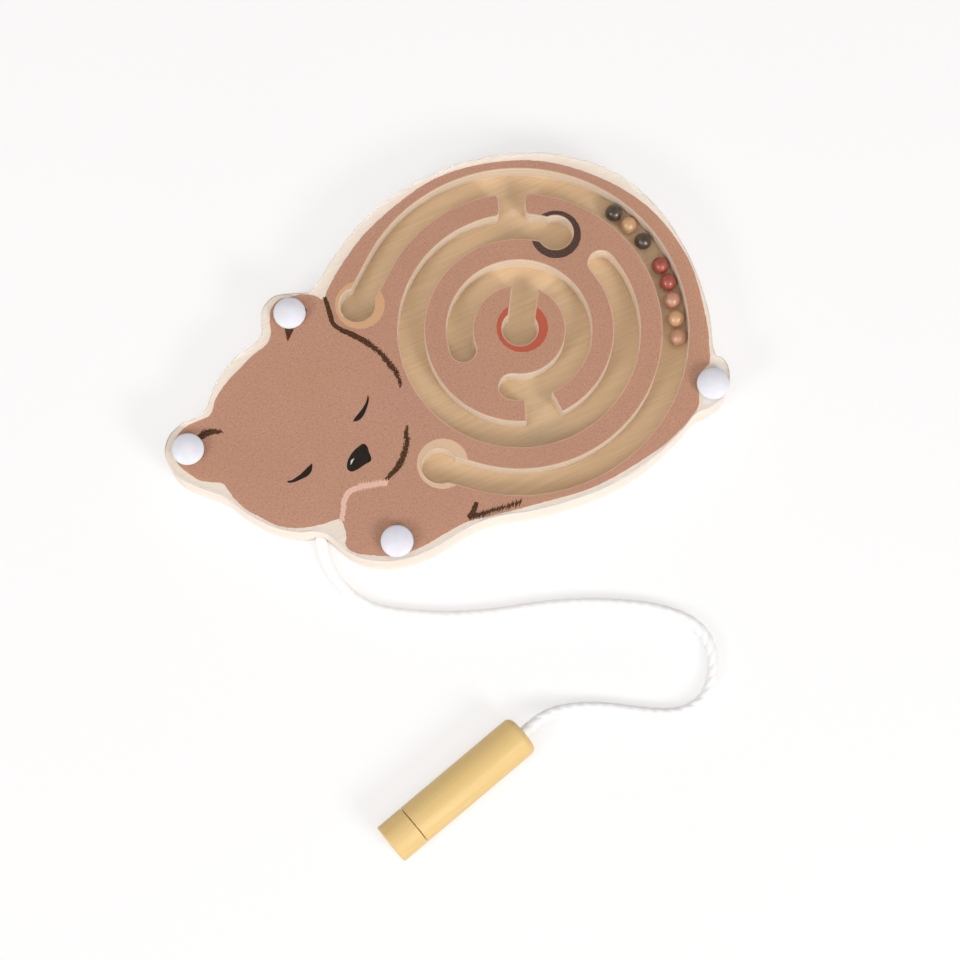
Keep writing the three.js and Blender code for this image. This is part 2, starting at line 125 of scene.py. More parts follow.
PRINT_EDGE = [
    # the back, from the nape to the tail
    (-56.2, 42.3), (-50.1, 47.1), (-36.3, 55.5), (-17.7, 61.9), (-3, 64.3), (14.8, 62), (34.8, 53.7),
    (51.7, 38.3), (62.5, 20.2), (66.4, -3), (63, -22.3), (60.9, -29.6), (59, -34), (56.1, -40.1),
    # the tail stays white
    (53.6, -41), (50.7, -42.8), (48.8, -46.3), (47.1, -50.2), (45.3, -52.9), (41.3, -55.4),
    # the belly
    (32.8, -58.8), (25.1, -60.8), (0, -63.4), (-20, -60.7), (-38.2, -57.5), (-47, -55.9), (-65, -57.3),
    # the paw
    (-74, -56.6), (-78.2, -54.6), (-83.1, -51.9), (-86.5, -49.5), (-88.5, -46.6), (-88.4, -44.7),
    (-87.3, -42.9), (-86.4, -39.3), (-86.5, -36.3),
    # the face
    (-89.7, -35.4), (-92.6, -35.2), (-99.4, -33.5), (-104.1, -31.3), (-108, -28.4), (-111.6, -23.8),
    (-114.9, -19.4), (-117.2, -14), (-118, -10.1), (-118.9, -6.8), (-122.3, -4.8), (-125.9, -2.3),
    (-128, 1.1),
    # the front ear
    (-129.8, 4.3), (-130.6, 9.2), (-129.1, 13.7), (-125.2, 16.5), (-122.6, 17.5), (-118.5, 17.7),
    (-113.8, 17.5), (-112.2, 18.3),
    # the crown
    (-109, 22.1), (-102.7, 26.3), (-97.1, 28.7), (-90, 31.6), (-84, 33.2), (-81.1, 36.3),
    # the back ear, up to the nape
    (-79.6, 40.6), (-77.6, 44.2), (-73.6, 46.4), (-70, 45.8), (-64.8, 44.6), (-61.3, 42.5), (-59, 39.9),
]
TAIL_EDGE = [
    (52, -43.6), (50.2, -46.8), (48.6, -50.4), (47.6, -52.6), (50.5, -53.4), (55.2, -52.4),
    (58.8, -49), (60.5, -44.8), (60.3, -42.6), (58.4, -41.4), (55.4, -42),
]
RING_MARKS = {
    "dark": ((27.2, 26.6), 9, "#3A2822"),
    "red": ((1.3, 0.2), 9.2, "#C5553A"),
    "tan": ((-45.5, -33.2), 9.1, "#E8C7A4"),
    "peach": ((-47.9, 32.4), 8.9, "#E3B185"),
}

# Strokes of the print: points along the middle, widths along it, and how rough its edges are
NECK_STROKE = [
    (-58.2, 40.4), (-58.4, 38.6), (-58.7, 35.8), (-59.1, 33.2), (-59.5, 30.6), (-58.9, 28.6),
    (-57.4, 26.3), (-55.7, 24.3), (-54, 22.2), (-52.3, 20), (-50.9, 17.6), (-49.6, 15.3),
    (-48.6, 12.9), (-47.9, 10.3), (-47.3, 7.6), (-46.7, 4.9), (-46.5, 2.4), (-46.9, 0.2), (-47.3, -1.6),
]
NECK_WIDTHS = [
    1.3, 1.6, 1.8, 1.7, 1.55, 1.75, 2.05, 2.15, 2, 1.7, 1.55, 1.4, 1.5, 1.7, 1.4, 0.9, 0.4,
]
NECK_ROUGHS = [0.15, 0.2, 0.25, 0.4, 0.55, 0.6]
CHEEK_ROUGHS = [0.5, 0.45, 0.35, 0.3]
PLAIN_ROUGHS = [0.3, 0.3]
CHEEK_WIDTHS = [0.3, 1, 1.4, 1.8, 1.7, 1.75, 1.8, 1.95, 2.1, 2, 1.7, 1.6, 1.2]
EAR_WIDTHS = [2.3, 2.4, 2.2, 1.9, 1.7, 1.2, 0.4]
CHEEK_STROKE = [
    (-51.2, -15.2), (-52, -16.8), (-52.9, -18.4), (-53.4, -20.2), (-54.3, -21.6), (-55.5, -23.1),
    (-56.5, -24.5), (-57.9, -25.8), (-59.4, -26.9), (-60.9, -27.9), (-62.6, -28.6), (-64.3, -29.2),
    (-66.2, -30.2),
]
PAW_STROKE = [
    (-66.2, -31.3), (-67.2, -31), (-68.3, -30.5), (-70.1, -30), (-71.9, -29.6), (-73.5, -29),
    (-75, -28.7), (-76.7, -28.4), (-78.4, -28.4), (-80.2, -28.8), (-81.7, -29.9), (-83, -31.2),
    (-83.8, -32.9), (-84.8, -34.4), (-86.4, -36.9),
]
PAW_WIDTHS = [1.7, 1.8, 1.7, 1.8, 1.8, 1.9, 1.8, 2, 2.1, 2.1, 1.9, 1.7, 1.75, 1.8, 2]
HAUNCH_TICK = [
    (-40.4, -50.9), (-41, -51.5), (-41.9, -52.3), (-42.7, -53.1), (-43.6, -54), (-44.6, -54.5),
    (-45.6, -54.8),
]
TICK_WIDTHS = [1.4, 1.7, 1.8, 1.9, 2.4, 2.3, 1.5]
HAUNCH_BRUSH = [
    (-44.4, -54.6), (-41.4, -55.3), (-39.7, -55.6), (-36.2, -55.9), (-34.4, -56.2), (-32.8, -56.6),
    (-29.2, -56.9), (-27.5, -57.2), (-26.2, -57.4),
]
BRUSH_WIDTHS = [1.7, 1.3, 1, 0.7, 0.5, 0.4, 0.3, 0.15]
EAR_STROKE = [
    (-120.2, 11.4), (-118.8, 12), (-117.4, 12.2), (-115.9, 12.2), (-114.4, 11.8), (-113, 11.1),
    (-111.6, 10.5),
]
EAR_WEDGE = [(-75.6, 36.1), (-73.1, 34.4), (-74.6, 32.8), (-76.8, 31.1), (-76.4, 33.6)]
EAR_MARK = [(-66.3, 39.7), (-65.9, 38.9), (-66.3, 38.1), (-66.8, 38.9)]
RIGHT_EYE = [
    (-59.1, 0.8), (-59.3, -0.6), (-60.2, -2), (-61.4, -3.4), (-63.2, -5.1), (-64.7, -6), (-66.3, -6.3),
    (-67.8, -5.8), (-66.7, -4.9), (-65, -4), (-63.3, -3.1), (-61.8, -2.1), (-60.3, -0.8),
]
LEFT_EYE = [
    (-98, -15.8), (-97.5, -16.6), (-96.4, -17), (-95, -17.2), (-93.2, -17.2), (-91.2, -17.2),
    (-89.8, -16.8), (-88.7, -16.1), (-87.8, -14.9), (-87.3, -13.6), (-88.4, -13.9), (-89.4, -14.2),
    (-90.6, -14.7), (-92.2, -15.3), (-93.3, -15.6), (-94.7, -15.9), (-96.2, -16.1),
]
NOSE = [
    (-67.8, -14.8), (-67.1, -16.3), (-67.4, -18.6), (-67.5, -20.6), (-68.2, -21.6), (-70.2, -21.8),
    (-73.8, -22.4), (-75.9, -22.2), (-76.8, -20.9), (-76.3, -19.2), (-74.9, -17.5), (-72.1, -15.7),
    (-69.4, -14.9),
]
NOSE_SHINE = [(-75.1, -19.8), (-74.2, -18.8), (-73.1, -18.3)]
SHINE_WIDTHS = [0.15, 0.7, 0.2]
SHINE_ROUGHS = [0.1, 0.1]

# How fine the strokes are drawn, and how uneven their edges, flecks and hairs are
CURVE_STEP = 0.1
STROKE_STEP = 0.2
SHAPE_STEP = 0.3
STROKE_GRAIN = 0.7
STROKE_LEAST = 0.04
STROKE_SIDES_APART = 7.5
# The strength and fineness of the noise on top of the first
PRINT_OCTAVE = (0.6, 3.1)
STROKE_OCTAVE = (0.8, 2.6)
FLECK_CORNERS = 6
FLECK_OFFSETS = (0.85, 1.5)
FLECK_SIZES = (0.5, 1.2)
HAIR_JITTER = 0.3
HAIR_TURN = 14
HAIR_LENGTHS = (0.55, 1.1)
HAIR_WIDTHS = (0.7, 1.2)
HAIR_ROOT = 0.4

# Rivets: a cap with a pin, and a socket with a flange behind the board
RIVETS = ("ear_back", "ear_front", "paw", "tail")
RIVET_SIDES = 72
CAP_EDGE = 0.6
CAP_SHOULDER = 0.245
CAP_LIFT = 0.005
CAP_FOOT = 0.15
CAP_RIM = 0.1
DOME_STEPS = 12
PIN_RADIUS = 2.0
PIN_BEVEL = 0.5
SOCKET_BORE = 2.3
SOCKET_WALL = 0.9
SOCKET_EDGE = 0.25
SOCKET_SEAT = 1.4
SOCKET_FLOOR = 1.6

# Balls, and the wand with its cord hole and its tip round the magnet
BALL_SIDES = 48
BALL_UNEVEN = 0.02
BALL_UNEVEN_SIZE = 1.4
WAND_SIDES = 128
WAND_FILLET = 2.5
WAND_FILLET_STEPS = 10
WAND_EASE = 0.15
WAND_HOLE_DEPTH = 6.5
WAND_HOLE_EDGE = 0.3
WAND_JOINT = 0.3
TIP_ROUND = 0.6
TIP_ROUND_STEPS = 6
TIP_WALL = 2.2
TIP_END = 2.0

# Table and light: a world that is brighter above the front, a key lamp in front and a fill lamp on the left.
# Places and sizes of the lamps are in metres, and angles in degrees.
TABLE_HALF = 8000
TABLE_DROP = 0.05
TABLE_GLOW = 0.6
WORLD_LEVEL = 0.26
OVERHEAD = (-0.04, -0.16, 0.96)
OVERHEAD_LEVEL = 1.95
OVERHEAD_INNER = 12
OVERHEAD_OUTER = 36
# What mirrors see of the world is white, with a dark patch overhead
DARK_PATCH = (0.09, 0.2, 0.976)
DARK_PATCH_INNER = 28
DARK_PATCH_OUTER = 60
DARK_PATCH_LEVEL = 0.08
LAMP_AIM = (-0.03, -0.03, 0)
LAMPS = {
    "key": ((0.42, -1.37, 0.99), 0.6, 13.0),
    "fill": ((-1.35, -0.45, 1.05), 0.6, 9.5),
}

# Colours of the finishes; wood has a light and a dark tone, a ply edge its glue too
BROWN_FACE = "#C69378"
BROWN_MAZE = "#C4917B"
BROWN_LIGHT = "#EDBD9F"
BROWN_DARK = "#A36E57"
FLOOR_WOOD = ("#E6CAA7", "#D6B68F")
MAZE_WOOD = ("#FBF0E4", "#F4E3D3")
MAZE_STAIN = "#DEAE93"
OUTER_PLIES = ("#FBF1E7", "#F1E1D2", "#DCC3AE")
WALL_PLIES = ("#FFF7EA", "#F0DCC6", "#C7A186")
# Inks: the colour, and the one where the coat is thin
STROKE_INK = ("#33200E", "#7C4E2C")
EYE_INK = ("#1E1208", "#3A322B")
SHINE_INK = ("#E4E0DC", "#8E8A86")
PEACH_INK = ("#F1C4B0", "#F4D3C4")
TAIL_INK = ("#F4F1EF", "#F6F5F4")
# The grain at which an ink is thinnest
INK_THIN = 0.8
DRY_INK_THIN = 0.58
WAND_GRAIN = ("#DFBD7C", "#E1C082", "#E7C98B")
WAND_WARM = "#E0BC79"
CAP_WHITE = ("#E2E1E8", "#EAE9F0")
SHEET_HAZE = ("#F9FAF9", "#FDFDFD")
SHEET_TINT = "#FBFAF9"
SHEET_EDGE = ("#E4E2DC", "#F6F5F2")
SHEET_EDGE_TINT = "#EFEFEC"
COTTON_WHITE = ("#F6F5F3", "#FCFBFA")
COTTON_SHADE = "#F2F0ED"
MAGNET_GREY = ("#B9BABC", "#D4D4D4")
TABLE_WHITE = ("#FAF8F7", "#FCFBFA")
TABLE_SEEN = "#FDFBFB"
BEAD_CLOUD = "#8A6C56"
BEAD_COLOURS = {
    "dark": "#382B20",
    "tan": "#DBAC7E",
    "red": "#AF4639",
    "pink": "#D1977B",
    "brown": "#CE9677",
}
BEAD_SHADES = ["dark", "tan", "dark", "red", "red", "pink", "tan", "brown"]


# Points and curves

def in_metres(points):
    """Points that are written in millimetres, as vectors in metres."""
    return [Vector(point) * MM for point in points]


def curve_point(before, start, end, after, share):
    """A point between start and end on the centripetal curve through four points."""
    first = max((start - before).length, TINY) ** 0.5
    middle = max((end - start).length, TINY) ** 0.5
    last = max((after - end).length, TINY) ** 0.5
    leave = ((start - before) / first - (end - before) / (first + middle)) * middle + (end - start)
    arrive = ((after - end) / last - (after - start) / (middle + last)) * middle + (end - start)
    square = share * share
    cube = square * share
    return (
        start * (2 * cube - 3 * square + 1)
        + leave * (cube - 2 * square + share)
        + end * (3 * square - 2 * cube)
        + arrive * (cube - square)
    )


def curve_through(points, step, closed=False):
    """Points about one step apart on a smooth curve through the given ones."""
    count = len(points)
    curve = []
    for index in range(count if closed else count - 1):
        start = points[index]
        end = points[(index + 1) % count]
        if closed:
            before = points[index - 1]
            after = points[(index + 2) % count]
        else:
            before = points[index - 1] if index else start * 2 - end
            after = points[index + 2] if index + 2 < count else end * 2 - start
        pieces = max(1, round((end - start).length / step))
        curve += [curve_point(before, start, end, after, k / pieces) for k in range(pieces)]
    if not closed:
        curve.append(points[-1])
    return curve


def evenly(points, step):
    """Points at one even distance along a fine open line, with its two ends kept."""
    lengths = [0.0]
    for start, end in zip(points, points[1:]):
        lengths.append(lengths[-1] + (end - start).length)
    count = max(2, round(lengths[-1] / step))
    even = []
    span = 0
    for index in range(count + 1):
        along = lengths[-1] * index / count
        while span < len(points) - 2 and lengths[span + 1] < along:
            span += 1
        part = (along - lengths[span]) / max(lengths[span + 1] - lengths[span], TINY)
        even.append(points[span].lerp(points[span + 1], part))
    return even


def left_of(direction):
    return Vector((-direction.y, direction.x)).normalized()


def flat(points):
    return [Vector((point[0], point[1])) for point in points]


def signed_area(loop):
    return sum(a.x * b.y - b.x * a.y for a, b in zip(loop, loop[1:] + loop[:1])) / 2


def turned_to(loop, counterclockwise):
    return loop if (signed_area(loop) > 0) == counterclockwise else loop[::-1]


def middle_of(loop):
    return sum(loop, Vector((0, 0))) / len(loop)


def inset(loop, distance):
    """The loop moved to its left by a distance, with mitred corners."""
    moved = []
    for index, point in enumerate(loop):
        arriving = left_of(point - loop[index - 1])
        leaving = left_of(loop[(index + 1) % len(loop)] - point)
        middle = (arriving + leaving).normalized()
        moved.append(point + middle * (distance / max(middle.dot(leaving), MITRE_LEAST)))
    return moved


def clear_inset(loop, distance):
    """The loop moved to its left, without the points that come too near another stretch of it."""
    tree = KDTree(len(loop))
    for index, point in enumerate(loop):
        tree.insert(point.to_3d(), index)
    tree.balance()
    moved = inset(loop, distance)
    return [point for point in moved if tree.find(point.to_3d())[2] > INSET_CLEAR * distance]


def rough_noise(place, octave):
    """Noise with a finer one on top, of a given strength and fineness."""
    strength, fineness = octave
    return noise.noise(place) + strength * noise.noise(place * fineness)


def ragged(loop, amount, size, seed):
    """The loop with an uneven edge, as a print leaves it."""
    uneven = []
    for index, point in enumerate(loop):
        outward = left_of(loop[(index + 1) % len(loop)] - loop[index - 1])
        place = Vector((point.x, point.y, seed * size)) / size
        uneven.append(point + outward * (rough_noise(place, PRINT_OCTAVE) * amount))
    return uneven


def loops_at(name, height):
    """The rings of points that bound a node's flat face at one height: the outline first, then its holes."""
    mesh = bmesh.new()
    mesh.from_mesh(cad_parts[name].data)
    bmesh.ops.remove_doubles(mesh, verts=mesh.verts, dist=SAME_SPOT)
    level = {face for face in mesh.faces if all(abs(v.co.z - height) < SAME_SPOT for v in face.verts)}
    follow = {}
    for face in level:
        for corner in face.loops:
            if sum(other in level for other in corner.edge.link_faces) == 1:
                follow[corner.vert] = corner.link_loop_next.vert
    loops = []
    while follow:
        vert, after = follow.popitem()
        ring = [vert]
        while after != ring[0]:
            ring.append(after)
            after = follow.pop(after)
        loops.append(flat([v.co for v in ring]))
    mesh.free()
    loops.sort(key=lambda loop: -abs(signed_area(loop)))
    return [turned_to(loop, index == 0) for index, loop in enumerate(loops)]


def smooth_loop(loop):
    """A loop of straight steps made fine and smooth, with its real corners kept."""
    count = len(loop)
    step = OUTLINE_STEP * MM
    corners = []
    for index, point in enumerate(loop):
        arriving = point - loop[index - 1]
        leaving = loop[(index + 1) % count] - point
        if arriving.angle(leaving) > math.radians(CORNER_ANGLE):
            corners.append(index)
    if not corners:
        return curve_through(loop, step, closed=True)
    fine = []
    for start, end in zip(corners, corners[1:] + [corners[0] + count]):
        run = [loop[index % count] for index in range(start, end + 1)]
        fine += curve_through(run, step)[:-1]
    return fine


def outlines(name, height):
    """The smooth outline of a node's flat face, and its holes."""
    return [smooth_loop(loop) for loop in loops_at(name, height)]


# Meshes

def new_piece(name, mesh, *materials):
    """A piece from a bmesh, smooth except along its sharp edges."""
    mesh.normal_update()
    for edge in mesh.edges:
        if len(edge.link_faces) == 2 and edge.calc_face_angle() > math.radians(SHARP_ANGLE):
            edge.smooth = False
    for face in mesh.faces:
        face.smooth = True
    data = bpy.data.meshes.new(name)
    mesh.to_mesh(data)
    mesh.free()
    for material in materials:
        data.materials.append(material)
    piece = bpy.data.objects.new(name, data)
    bpy.context.scene.collection.objects.link(piece)
    return piece


def edge_profile(bottom, top, rounding):
    """A wall's section from bottom to top, as insets and heights, with rounded edges."""
    if not rounding:
        return [(0, bottom), (0, top)]
    quarter = [math.pi / 2 * step / EDGE_STEPS for step in range(EDGE_STEPS + 1)]
    lower = [(rounding * (1 - math.sin(a)), bottom + rounding * (1 - math.cos(a))) for a in quarter]
    upper = [(rounding * (1 - math.cos(a)), top - rounding * (1 - math.sin(a))) for a in quarter]
    return lower + upper


def add_wall(mesh, loop, profile, material):
    """One wall round a loop; returns its lowest and highest ring of vertices."""
    rings = []
    for distance, height in profile:
        ring = inset(loop, distance) if distance else loop
        rings.append([mesh.verts.new((point.x, point.y, height)) for point in ring])
    for lower, upper in zip(rings, rings[1:]):
        for index in range(len(loop)):
            after = (index + 1) % len(loop)
            face = mesh.faces.new((lower[index], lower[after], upper[after], upper[index]))
            face.material_index = material
    return rings[0], rings[-1]


def add_cap(mesh, rings, upward, material):
    """A flat face between rings of vertices, with a crisp border."""
    verts = [vert for ring in rings for vert in ring]
    for corners in tessellate_polygon([[vert.co for vert in ring] for ring in rings]):
        a, b, c = (verts[corner] for corner in corners)
        faces_up = (b.co - a.co).cross(c.co - a.co).z > 0
        face = mesh.faces.new((a, b, c) if faces_up == upward else (a, c, b))
        face.material_index = material
    for ring in rings:
        for vert, after in zip(ring, ring[1:] + ring[:1]):
            edge = mesh.edges.get((vert, after))
            if edge:
                edge.smooth = False


def add_slab(mesh, loops, profiles, face_material=0, outer_material=1, hole_material=1):
    """A flat solid bounded by an outline and its holes, each with its own wall section."""
    ends = []
    for index, (loop, profile) in enumerate(zip(loops, profiles)):
        ends.append(add_wall(mesh, loop, profile, hole_material if index else outer_material))
    add_cap(mesh, [low for low, high in ends], False, face_material)
    add_cap(mesh, [high for low, high in ends], True, face_material)


def turned(profile, sides):
    """A turned solid about +Z from radii and heights; the profile starts and ends on the axis."""
    mesh = bmesh.new()
    rings = []
    for radius, height in profile:
        count = sides if radius > TINY else 1
        turn = [2 * math.pi * side / sides for side in range(count)]
        rings.append([mesh.verts.new((radius * math.cos(a), radius * math.sin(a), height)) for a in turn])
    for lower, upper in zip(rings, rings[1:]):
        for side in range(sides):
            after = (side + 1) % sides
            corners = [
                lower[side % len(lower)],
                lower[after % len(lower)],
                upper[after % len(upper)],
                upper[side % len(upper)],
            ]
            mesh.faces.new(list(dict.fromkeys(corners)))
    bmesh.ops.recalc_face_normals(mesh, faces=mesh.faces)
    return mesh


def arc(centre, radius, start, end, steps):
    """Radii and heights along an arc of a lathe profile, in degrees."""
    turn = [math.radians(start + (end - start) * step / steps) for step in range(steps + 1)]
    return [(centre[0] + radius * math.cos(a), centre[1] + radius * math.sin(a)) for a in turn]


# Materials

def colour(code):
    """A colour as seen on a screen, turned to the linear values that a shader takes."""
    shares = [int(code[place:place + 2], 16) / 255 for place in (1, 3, 5)]
    linear = [s / 12.92 if s <= 0.04045 else ((s + 0.055) / 1.055) ** 2.4 for s in shares]
    return (*linear, 1.0)


class Nodes:
    """Short ways to add nodes to a tree and to feed their sockets."""

    def __init__(self, tree):
        self.tree = tree

    def node(self, kind, inputs=None, **settings):
        made = self.tree.nodes.new("ShaderNode" + kind)
        for setting, value in settings.items():
            setattr(made, setting, value)
        for socket, value in (inputs or {}).items():
            self.feed(made.inputs[socket], value)
        return made

    def feed(self, socket, value):
        """A socket takes another socket's output, a colour code or a plain value."""
        if isinstance(value, bpy.types.NodeSocket):
            self.tree.links.new(value, socket)
        else:
            socket.default_value = colour(value) if isinstance(value, str) else value

    def math(self, operation, first, second=0.0):
        return self.node("Math", {0: first, 1: second}, operation=operation).outputs[0]

    def seen(self, path):
        """One for a ray that is seen: straight, in a mirror or through a clear sheet."""
        mirrored = self.math("MAXIMUM", path["Is Camera Ray"], path["Is Glossy Ray"])
        return self.math("MAXIMUM", mirrored, path["Is Transmission Ray"])


class Look(Nodes):
    """A node material round one Principled shader. Its patterns are placed in millimetres."""

    def __init__(self, name, **values):
        self.material = bpy.data.materials.new(name)
        self.material.use_nodes = True
        super().__init__(self.material.node_tree)
        self.shader = self.tree.nodes["Principled BSDF"]
        for socket, value in values.items():
            self.set(socket.replace("_", " "), value)
        coordinates = self.node("TexCoord")
        self.place = self.vector("DIVIDE", coordinates.outputs["Object"], (MM, MM, MM))

    def set(self, socket, value):
        self.feed(self.shader.inputs[socket], value)

    def vector(self, operation, first, second):
        made = self.node("VectorMath", {0: first, 1: second}, operation=operation)
        return made.outputs["Value" if operation == "DISTANCE" else "Vector"]

    def noise(self, size, detail=2.0, roughness=0.5):
        """Noise whose blobs have the given sizes along X, Y and Z."""
        fitted = self.vector("DIVIDE", self.place, size)
        inputs = {"Vector": fitted, "Scale": 1.0, "Detail": detail, "Roughness": roughness}
        return self.node("TexNoise", inputs).outputs["Fac"]

    def ramp(self, value, *stops):
        """Colours or greys at places from 0 to 1."""
        made = self.node("ValToRGB", {"Fac": value})
        elements = made.color_ramp.elements
        while len(elements) < len(stops):
            elements.new(0.5)
        for element, (place, shade) in zip(elements, stops):
            element.position = place
            element.color = colour(shade) if isinstance(shade, str) else (shade, shade, shade, 1)
        return made.outputs["Color"]

    def mix(self, factor, first, second, blend="MIX"):
        made = self.node("Mix", data_type="RGBA", blend_type=blend)
        self.feed(made.inputs["Factor"], factor)
        self.feed(made.inputs["A"], first)
        self.feed(made.inputs["B"], second)
        return made.outputs["Result"]

    def tones(self, value, low, high):
        """Two colours, with a soft change from the first to the second."""
        return self.ramp(value, (0.3, low), (0.7, high))

    def finish(self, base, gloss=None, relief=None):
        """Colour, a ramp of roughness, and relief: a pattern, its depth in millimetres and its strength."""
        self.set("Base Color", base)
        if gloss:
            self.set("Roughness", self.ramp(*gloss))
        if relief:
            pattern, depth, strength = relief
            bump = {"Height": pattern, "Distance": depth * MM, "Strength": strength}
            self.set("Normal", self.node("Bump", bump).outputs["Normal"])
        return self.material

    def clear_for(self, rays, tint, surface=None):
        """A surface that one kind of ray passes as through tinted glass."""
        through = self.node("BsdfTransparent", {"Color": tint}).outputs[0]
        passed = self.node("LightPath").outputs[rays]
        return self.show(passed, surface or self.shader.outputs[0], through)

    def show(self, share, first, second):
        """The finished surface: a mix of two shaders by the share of the second."""
        mixed = self.node("MixShader", {0: share, 1: first, 2: second}).outputs[0]
        self.feed(self.tree.nodes["Material Output"].inputs["Surface"], mixed)
        return mixed


def wood_face(name, light, dark, stain=None):
    """A plywood face: long streaks along X, fine pores and a slow change of tone, stained round the maze."""
    look = Look(name)
    streaks = look.noise((38, 1.1, 4), detail=5, roughness=0.62)
    pores = look.noise((5.5, 0.22, 2), detail=3)
    tone = look.noise((46, 30, 20), detail=1)
    grain = look.tones(streaks, dark, light)
    tinted = look.mix(look.ramp(tone, (0.35, 0.0), (0.7, 0.35)), grain, dark)
    dots = look.ramp(pores, (0.28, 0.75), (0.42, 1.0))
    if stain:
        reach = look.node("VectorMath", {0: look.place}, operation="LENGTH").outputs["Value"]
        tinted = look.mix(look.math("LESS_THAN", reach, BORDER_REACH), tinted, stain)
    dotted = look.mix(0.3, tinted, dots, blend="MULTIPLY")
    return look.finish(dotted, (streaks, (0.2, 0.62), (0.8, 0.5)), (pores, 0.03, 0.5))


def ply_edge(name, light, dark, glue, low, high):
    """The cut edge of plywood: plies of turning grain with thin glue lines between them."""
    look = Look(name)
    parts = look.node("SeparateXYZ", {0: look.place})
    wander = look.math("MULTIPLY", look.noise((9, 9, 6), detail=1), 0.16)
    ply = (high - low) / MM / PLY_COUNT
    layer = look.math("DIVIDE", look.math("SUBTRACT", parts.outputs["Z"], low / MM), ply)
    layer = look.math("ADD", layer, wander)
    half = look.math("MULTIPLY", layer, 0.5)
    turn = look.math("GREATER_THAN", look.math("FRACT", half), 0.5)
    near_glue = look.math("PINGPONG", layer, 0.5)
    glue_line = look.ramp(near_glue, (0.0, 1.0), (0.07, 0.75), (0.12, 0.0))
    end_grain = look.noise((0.35, 0.35, 1.6), detail=3)
    long_grain = look.noise((7, 7, 0.25), detail=3)
    along = look.ramp(long_grain, (0.3, dark), (0.65, light))
    across = look.ramp(end_grain, (0.3, dark), (0.75, light))
    shade = look.mix(turn, along, look.mix(0.35, across, dark))
    glued = look.mix(look.math("MULTIPLY", glue_line, 0.55), shade, glue)
    return look.finish(glued, (end_grain, (0.2, 0.7), (0.8, 0.55)), (end_grain, 0.04, 0.5))


def printed_brown():
    """The brown print: fine light specks, a slow change of tone, and the four ring marks."""
    look = Look("brown_print", Specular_IOR_Level=0.3)
    tone = look.noise((60, 40, 10), detail=2)
    base = look.mix(look.ramp(tone, (0.35, 0.0), (0.65, 1.0)), BROWN_FACE, BROWN_MAZE)
    specks = look.noise((0.5, 0.5, 1), detail=3, roughness=0.7)
    speck_share = look.ramp(specks, (0.5, 0.0), (0.68, 0.5))
    shade = look.mix(speck_share, base, BROWN_LIGHT)
    dark_share = look.ramp(look.noise((0.8, 0.8, 1), detail=2), (0.3, 0.45), (0.48, 0.0))
    shade = look.mix(dark_share, shade, BROWN_DARK)
    waver = look.math("MULTIPLY", look.math("SUBTRACT", look.noise((1.1, 1.1, 1)), 0.5), 0.5)
    parts = look.node("SeparateXYZ", {0: look.place}).outputs
    level = look.node("CombineXYZ", {"X": parts["X"], "Y": parts["Y"]}).outputs[0]
    for centre, radius, code in RING_MARKS.values():
        reach = look.vector("DISTANCE", level, (*centre, 0))
        within = look.math("LESS_THAN", look.math("ADD", reach, waver), radius)
        ring = look.mix(look.ramp(specks, (0.35, 0.0), (0.75, 0.25)), code, shade)
        shade = look.mix(within, shade, ring)
    return look.finish(shade, (specks, (0.3, 0.58), (0.8, 0.46)), (specks, 0.012, 0.6))


def plain_ink(name, code, thin_code, thinnest=INK_THIN):
    """Printed ink with an uneven coat, which turns to its thin colour as the grain comes to the thinnest."""
    look = Look(name, Specular_IOR_Level=0.2)
    grain = look.noise((0.5, 0.5, 1), detail=3, roughness=0.65)
    coat = look.mix(look.ramp(grain, (0.44, 0.0), (thinnest, 0.7)), code, thin_code)
    return look.finish(coat, (grain, (0.3, 0.55), (0.8, 0.42)), (grain, 0.01, 0.5))


def clear_sheet():
    """Clear acrylic that lets lamps and scattered light straight through."""
    look = Look("clear_acrylic", Transmission_Weight=1.0, IOR=1.49, Roughness=0.0)
    haze = look.noise((24, 24, 24), detail=3)
    scattered = look.clear_for("Is Diffuse Ray", SHEET_TINT)
    look.clear_for("Is Shadow Ray", SHEET_TINT, scattered)
    return look.finish(look.tones(haze, *SHEET_HAZE))


def acrylic_edge():
    """The sheet's cut edge, a little frosted."""
    look = Look("acrylic_edge", Transmission_Weight=0.6, IOR=1.49)
    marks = look.noise((0.5, 0.5, 3), detail=3)
    look.clear_for("Is Shadow Ray", SHEET_EDGE_TINT)
    return look.finish(look.tones(marks, *SHEET_EDGE), (marks, (0.3, 0.28), (0.7, 0.42)))


def moulded_plastic():
    """White moulded plastic with a soft gloss."""
    look = Look("white_plastic", Subsurface_Weight=0.5, Subsurface_Scale=3 * MM)
    cloud = look.noise((5, 5, 5), detail=2)
    skin = look.noise((0.35, 0.35, 0.35), detail=3)
    return look.finish(look.tones(cloud, *CAP_WHITE), (skin, (0.3, 0.34), (0.7, 0.44)), (skin, 0.008, 0.5))


def bead_lacquer(name, code):
    """Glossy lacquer on a small ball, with the faint unevenness of a dipped coat."""
    look = Look(name, Coat_Weight=1.0, Coat_Roughness=0.3, Coat_IOR=1.55)
    cloud = look.noise((1.6, 1.6, 1.6), detail=3)
    coat = look.mix(look.ramp(cloud, (0.3, 0.0), (0.75, 0.2)), code, BEAD_CLOUD)
    return look.finish(coat, (cloud, (0.3, 0.4), (0.7, 0.5)))


